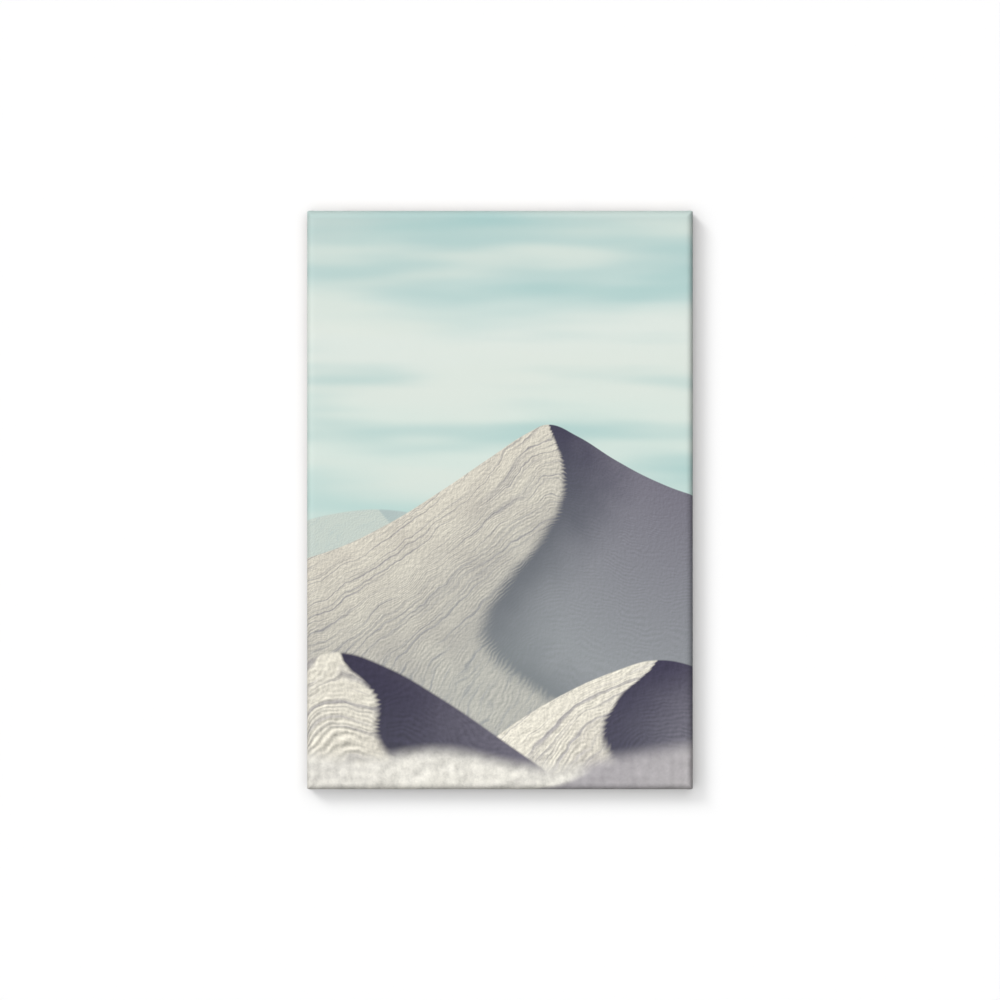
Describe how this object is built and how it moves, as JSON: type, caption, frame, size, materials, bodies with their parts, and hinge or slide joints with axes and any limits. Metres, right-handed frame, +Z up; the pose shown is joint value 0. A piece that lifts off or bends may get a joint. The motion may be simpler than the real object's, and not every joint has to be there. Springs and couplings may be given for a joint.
{
  "type": "stretched canvas wall picture",
  "caption": "Frameless printed canvas stretched over a mitred wooden frame with corner wedges, hung on a wall by a sawtooth hanger.",
  "frame": {"origin": "the point on the wall where the nail carries the middle notch of the sawtooth hanger", "axes": "+Z up along the picture's height, +X to the right as seen from the front, -Y out of the wall towards the viewer; the wall is the plane y = 0"},
  "size_m": [0.4, 0.023, 0.6],
  "materials": {
    "printed_canvas": "matt printed poly-cotton canvas, bare cream weave on its back",
    "pine": "planed, unfinished",
    "beech": "sawn, unfinished",
    "staple_wire": "galvanised flat wire",
    "zinc_steel": "zinc-plated, faintly yellow",
    "felt": "grey pressed wool felt"
  },
  "bodies": {
    "root": {"bottom_bar": "pine", "canvas": "printed_canvas", "felt_pad_left": "felt", "felt_pad_right": "felt", "hanger_nail_left": "zinc_steel", "hanger_nail_right": "zinc_steel", "left_bar": "pine", "right_bar": "pine", "sawtooth_hanger": "zinc_steel", "staple_bottom_1": "staple_wire", "staple_bottom_2": "staple_wire", "staple_bottom_3": "staple_wire", "staple_bottom_4": "staple_wire", "staple_bottom_5": "staple_wire", "staple_bottom_left_corner": "staple_wire", "staple_bottom_right_corner": "staple_wire", "staple_left_1": "staple_wire", "staple_left_2": "staple_wire", "staple_left_3": "staple_wire", "staple_left_4": "staple_wire", "staple_left_5": "staple_wire", "staple_left_6": "staple_wire", "staple_left_7": "staple_wire", "staple_left_8": "staple_wire", "staple_right_1": "staple_wire", "staple_right_2": "staple_wire", "staple_right_3": "staple_wire", "staple_right_4": "staple_wire", "staple_right_5": "staple_wire", "staple_right_6": "staple_wire", "staple_right_7": "staple_wire", "staple_right_8": "staple_wire", "staple_top_1": "staple_wire", "staple_top_2": "staple_wire", "staple_top_3": "staple_wire", "staple_top_4": "staple_wire", "staple_top_5": "staple_wire", "staple_top_left_corner": "staple_wire", "staple_top_right_corner": "staple_wire", "top_bar": "pine", "wedge_bottom_bar_left": "beech", "wedge_bottom_bar_right": "beech", "wedge_left_bar_lower": "beech", "wedge_left_bar_upper": "beech", "wedge_right_bar_lower": "beech", "wedge_right_bar_upper": "beech", "wedge_top_bar_left": "beech", "wedge_top_bar_right": "beech"}
  },
  "joints": []
}
